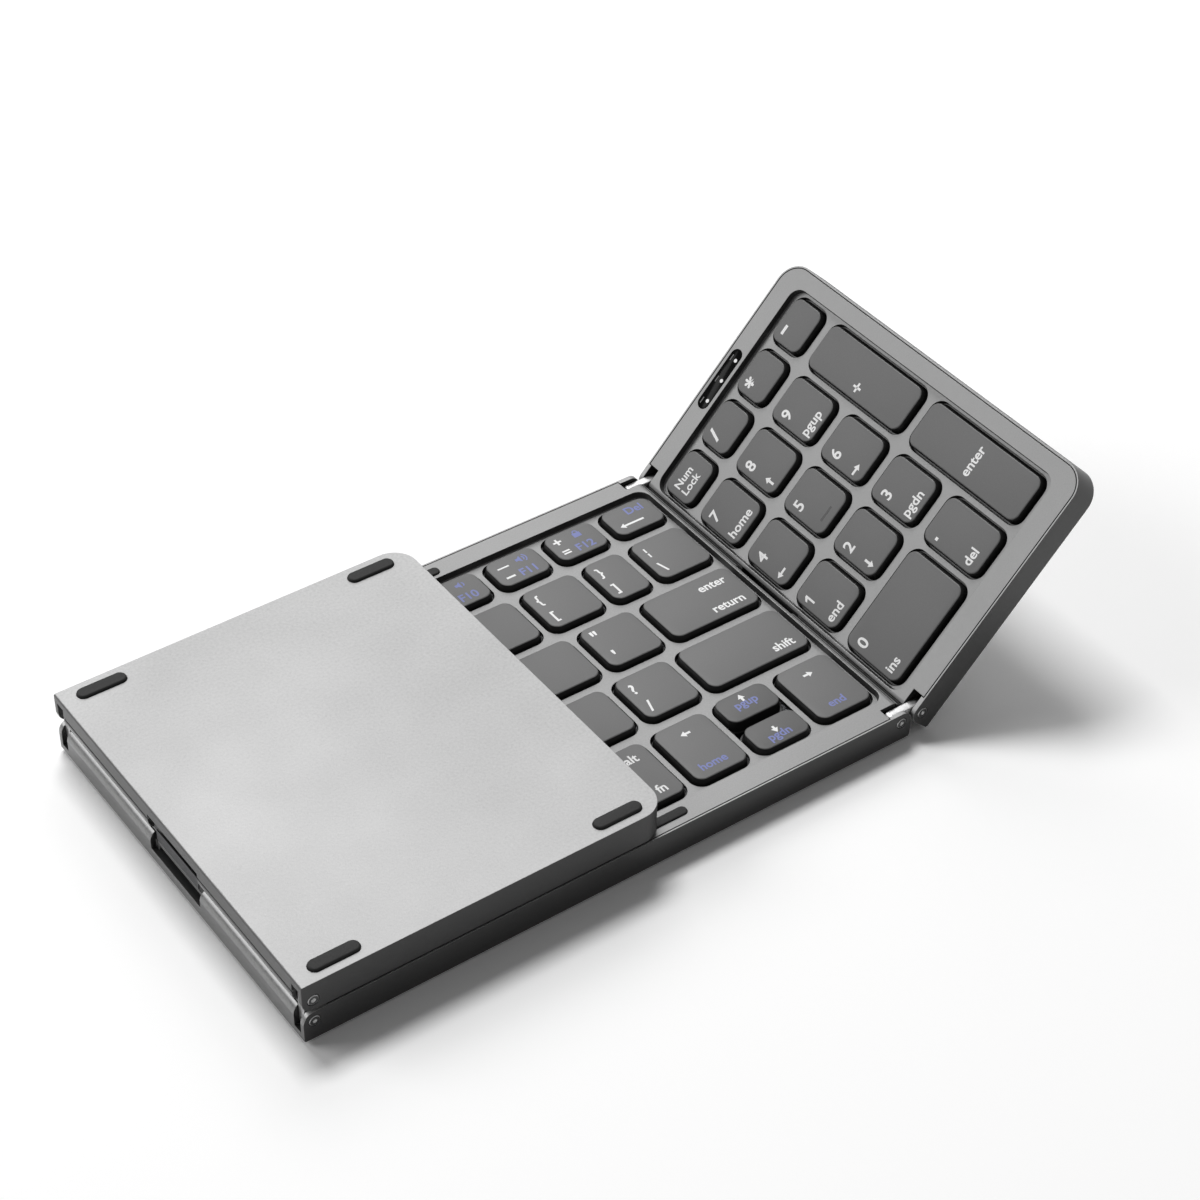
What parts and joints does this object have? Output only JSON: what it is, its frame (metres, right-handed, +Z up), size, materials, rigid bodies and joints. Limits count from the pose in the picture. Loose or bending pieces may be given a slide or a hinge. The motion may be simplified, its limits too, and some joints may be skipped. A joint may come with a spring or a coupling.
{
  "type": "folding keyboard",
  "caption": "Tri-fold pocket keyboard with a numeric pad: flat panels on double-pin bar hinges, sprung chiclet keys, rubber feet and a charging socket in the back edge.",
  "frame": {"origin": "centre of the footprint at rest, on the table under the middle panel's feet", "axes": "+X towards the numeric pad, +Y away from the typist, +Z up"},
  "size_m": [0.2394, 0.119, 0.0623],
  "materials": {
    "anodised_shell": "satin space-grey anodised, fine bead-blasted",
    "satin_frame": "satin silver-grey",
    "key_plastic": "matte dark grey with a black skirt",
    "black_rubber": "matt moulded",
    "chrome_bar": "polished",
    "pin_steel": "turned and darkened",
    "deck_steel": "rolled sheet under clear film",
    "window_black": "gloss black, smoked",
    "circuit_board": "green solder mask",
    "battery_pouch": "matt foil pouch",
    "flex_film": "matt dark film",
    "socket_steel": "drawn sheet"
  },
  "bodies": {
    "middle_panel": {"middle_bottom_shell": "anodised_shell", "middle_top_frame": "satin_frame", "middle_feet": "black_rubber", "middle_bumpers": "black_rubber", "middle_switch_deck": "deck_steel", "controller_board": "circuit_board", "battery_cell": "battery_pouch", "usb_c_port": "socket_steel", "middle_hinge_pins": "pin_steel", "middle_screws": "pin_steel"},
    "left_link": {"left_hinge_links": "chrome_bar", "left_flex_strip": "flex_film"},
    "right_link": {"right_hinge_links": "chrome_bar", "right_flex_strip": "flex_film"},
    "left_panel": {"left_bottom_shell": "anodised_shell", "left_top_frame": "satin_frame", "left_feet": "black_rubber", "left_switch_deck": "deck_steel", "left_hinge_pins": "pin_steel", "left_screws": "pin_steel"},
    "right_panel": {"right_bottom_shell": "anodised_shell", "right_top_frame": "satin_frame", "right_feet": "black_rubber", "right_switch_deck": "deck_steel", "right_hinge_pins": "pin_steel", "right_screws": "pin_steel", "indicator_window": "window_black"},
    "middle_far_keys": {"middle_far_keys": "key_plastic"},
    "left_keys": {"left_keys": "key_plastic"},
    "key_minus": {"key_minus": "key_plastic"},
    "key_equals": {"key_equals": "key_plastic"},
    "key_backspace": {"key_backspace": "key_plastic"},
    "key_bracket_left": {"key_bracket_left": "key_plastic"},
    "key_bracket_right": {"key_bracket_right": "key_plastic"},
    "key_backslash": {"key_backslash": "key_plastic"},
    "key_quote": {"key_quote": "key_plastic"},
    "key_enter": {"key_enter": "key_plastic"},
    "key_slash": {"key_slash": "key_plastic"},
    "key_shift": {"key_shift": "key_plastic"},
    "key_arrow_left": {"key_arrow_left": "key_plastic"},
    "key_arrow_right": {"key_arrow_right": "key_plastic"},
    "key_arrow_up": {"key_arrow_up": "key_plastic"},
    "key_arrow_down": {"key_arrow_down": "key_plastic"},
    "pad_num_lock": {"pad_num_lock": "key_plastic"},
    "pad_divide": {"pad_divide": "key_plastic"},
    "pad_multiply": {"pad_multiply": "key_plastic"},
    "pad_subtract": {"pad_subtract": "key_plastic"},
    "pad_7": {"pad_7": "key_plastic"},
    "pad_8": {"pad_8": "key_plastic"},
    "pad_9": {"pad_9": "key_plastic"},
    "pad_add": {"pad_add": "key_plastic"},
    "pad_4": {"pad_4": "key_plastic"},
    "pad_5": {"pad_5": "key_plastic"},
    "pad_6": {"pad_6": "key_plastic"},
    "pad_1": {"pad_1": "key_plastic"},
    "pad_2": {"pad_2": "key_plastic"},
    "pad_3": {"pad_3": "key_plastic"},
    "pad_enter": {"pad_enter": "key_plastic"},
    "pad_0": {"pad_0": "key_plastic"},
    "pad_decimal": {"pad_decimal": "key_plastic"}
  },
  "joints": [
    {"name": "left_link_hinge", "type": "hinge", "parent": "middle_panel", "child": "left_link", "pos_m": [-0.11656, 0, 0.0065], "axis": [0, -1, 0], "range_deg": [0, 90]},
    {"name": "left_panel_hinge", "type": "hinge", "parent": "left_link", "child": "left_panel", "pos_m": [-0.11656, 0, 0.0135], "axis": [0, -1, 0], "range_deg": [0, 90]},
    {"name": "right_link_hinge", "type": "hinge", "parent": "middle_panel", "child": "right_link", "pos_m": [0.05844, 0, 0.0065], "axis": [0, -1, 0], "range_deg": [0, 90]},
    {"name": "right_panel_hinge", "type": "hinge", "parent": "right_link", "child": "right_panel", "pos_m": [0.06544, 0, 0.0065], "axis": [0, -1, 0], "range_deg": [-47, 43]},
    {"name": "middle_far_keys_press", "type": "slide", "parent": "middle_panel", "child": "middle_far_keys", "axis": [0, 0, -1], "range_m": [0, 0.0012], "stiffness_N_per_m": 10842, "springref_m": -0.0006},
    {"name": "left_keys_press", "type": "slide", "parent": "left_panel", "child": "left_keys", "axis": [0, 0, 1], "range_m": [0, 0.0012], "stiffness_N_per_m": 9591, "springref_m": -0.0006},
    {"name": "key_minus_press", "type": "slide", "parent": "middle_panel", "child": "key_minus", "axis": [0, 0, -1], "range_m": [0, 0.0012], "stiffness_N_per_m": 417, "springref_m": -0.0006},
    {"name": "key_equals_press", "type": "slide", "parent": "middle_panel", "child": "key_equals", "axis": [0, 0, -1], "range_m": [0, 0.0012], "stiffness_N_per_m": 417, "springref_m": -0.0006},
    {"name": "key_backspace_press", "type": "slide", "parent": "middle_panel", "child": "key_backspace", "axis": [0, 0, -1], "range_m": [0, 0.0012], "stiffness_N_per_m": 417, "springref_m": -0.0006},
    {"name": "key_bracket_left_press", "type": "slide", "parent": "middle_panel", "child": "key_bracket_left", "axis": [0, 0, -1], "range_m": [0, 0.0012], "stiffness_N_per_m": 417, "springref_m": -0.0006},
    {"name": "key_bracket_right_press", "type": "slide", "parent": "middle_panel", "child": "key_bracket_right", "axis": [0, 0, -1], "range_m": [0, 0.0012], "stiffness_N_per_m": 417, "springref_m": -0.0006},
    {"name": "key_backslash_press", "type": "slide", "parent": "middle_panel", "child": "key_backslash", "axis": [0, 0, -1], "range_m": [0, 0.0012], "stiffness_N_per_m": 417, "springref_m": -0.0006},
    {"name": "key_quote_press", "type": "slide", "parent": "middle_panel", "child": "key_quote", "axis": [0, 0, -1], "range_m": [0, 0.0012], "stiffness_N_per_m": 417, "springref_m": -0.0006},
    {"name": "key_enter_press", "type": "slide", "parent": "middle_panel", "child": "key_enter", "axis": [0, 0, -1], "range_m": [0, 0.0012], "stiffness_N_per_m": 417, "springref_m": -0.0006},
    {"name": "key_slash_press", "type": "slide", "parent": "middle_panel", "child": "key_slash", "axis": [0, 0, -1], "range_m": [0, 0.0012], "stiffness_N_per_m": 417, "springref_m": -0.0006},
    {"name": "key_shift_press", "type": "slide", "parent": "middle_panel", "child": "key_shift", "axis": [0, 0, -1], "range_m": [0, 0.0012], "stiffness_N_per_m": 417, "springref_m": -0.0006},
    {"name": "key_arrow_left_press", "type": "slide", "parent": "middle_panel", "child": "key_arrow_left", "axis": [0, 0, -1], "range_m": [0, 0.0012], "stiffness_N_per_m": 417, "springref_m": -0.0006},
    {"name": "key_arrow_right_press", "type": "slide", "parent": "middle_panel", "child": "key_arrow_right", "axis": [0, 0, -1], "range_m": [0, 0.0012], "stiffness_N_per_m": 417, "springref_m": -0.0006},
    {"name": "key_arrow_up_press", "type": "slide", "parent": "middle_panel", "child": "key_arrow_up", "axis": [0, 0, -1], "range_m": [0, 0.0012], "stiffness_N_per_m": 417, "springref_m": -0.0006},
    {"name": "key_arrow_down_press", "type": "slide", "parent": "middle_panel", "child": "key_arrow_down", "axis": [0, 0, -1], "range_m": [0, 0.0012], "stiffness_N_per_m": 417, "springref_m": -0.0006},
    {"name": "pad_num_lock_press", "type": "slide", "parent": "right_panel", "child": "pad_num_lock", "axis": [0.7314, 0, -0.682], "range_m": [0, 0.0012], "stiffness_N_per_m": 417, "springref_m": -0.0006},
    {"name": "pad_divide_press", "type": "slide", "parent": "right_panel", "child": "pad_divide", "axis": [0.7314, 0, -0.682], "range_m": [0, 0.0012], "stiffness_N_per_m": 417, "springref_m": -0.0006},
    {"name": "pad_multiply_press", "type": "slide", "parent": "right_panel", "child": "pad_multiply", "axis": [0.7314, 0, -0.682], "range_m": [0, 0.0012], "stiffness_N_per_m": 417, "springref_m": -0.0006},
    {"name": "pad_subtract_press", "type": "slide", "parent": "right_panel", "child": "pad_subtract", "axis": [0.7314, 0, -0.682], "range_m": [0, 0.0012], "stiffness_N_per_m": 417, "springref_m": -0.0006},
    {"name": "pad_7_press", "type": "slide", "parent": "right_panel", "child": "pad_7", "axis": [0.7314, 0, -0.682], "range_m": [0, 0.0012], "stiffness_N_per_m": 417, "springref_m": -0.0006},
    {"name": "pad_8_press", "type": "slide", "parent": "right_panel", "child": "pad_8", "axis": [0.7314, 0, -0.682], "range_m": [0, 0.0012], "stiffness_N_per_m": 417, "springref_m": -0.0006},
    {"name": "pad_9_press", "type": "slide", "parent": "right_panel", "child": "pad_9", "axis": [0.7314, 0, -0.682], "range_m": [0, 0.0012], "stiffness_N_per_m": 417, "springref_m": -0.0006},
    {"name": "pad_add_press", "type": "slide", "parent": "right_panel", "child": "pad_add", "axis": [0.7314, 0, -0.682], "range_m": [0, 0.0012], "stiffness_N_per_m": 417, "springref_m": -0.0006},
    {"name": "pad_4_press", "type": "slide", "parent": "right_panel", "child": "pad_4", "axis": [0.7314, 0, -0.682], "range_m": [0, 0.0012], "stiffness_N_per_m": 417, "springref_m": -0.0006},
    {"name": "pad_5_press", "type": "slide", "parent": "right_panel", "child": "pad_5", "axis": [0.7314, 0, -0.682], "range_m": [0, 0.0012], "stiffness_N_per_m": 417, "springref_m": -0.0006},
    {"name": "pad_6_press", "type": "slide", "parent": "right_panel", "child": "pad_6", "axis": [0.7314, 0, -0.682], "range_m": [0, 0.0012], "stiffness_N_per_m": 417, "springref_m": -0.0006},
    {"name": "pad_1_press", "type": "slide", "parent": "right_panel", "child": "pad_1", "axis": [0.7314, 0, -0.682], "range_m": [0, 0.0012], "stiffness_N_per_m": 417, "springref_m": -0.0006},
    {"name": "pad_2_press", "type": "slide", "parent": "right_panel", "child": "pad_2", "axis": [0.7314, 0, -0.682], "range_m": [0, 0.0012], "stiffness_N_per_m": 417, "springref_m": -0.0006},
    {"name": "pad_3_press", "type": "slide", "parent": "right_panel", "child": "pad_3", "axis": [0.7314, 0, -0.682], "range_m": [0, 0.0012], "stiffness_N_per_m": 417, "springref_m": -0.0006},
    {"name": "pad_enter_press", "type": "slide", "parent": "right_panel", "child": "pad_enter", "axis": [0.7314, 0, -0.682], "range_m": [0, 0.0012], "stiffness_N_per_m": 417, "springref_m": -0.0006},
    {"name": "pad_0_press", "type": "slide", "parent": "right_panel", "child": "pad_0", "axis": [0.7314, 0, -0.682], "range_m": [0, 0.0012], "stiffness_N_per_m": 417, "springref_m": -0.0006},
    {"name": "pad_decimal_press", "type": "slide", "parent": "right_panel", "child": "pad_decimal", "axis": [0.7314, 0, -0.682], "range_m": [0, 0.0012], "stiffness_N_per_m": 417, "springref_m": -0.0006}
  ]
}
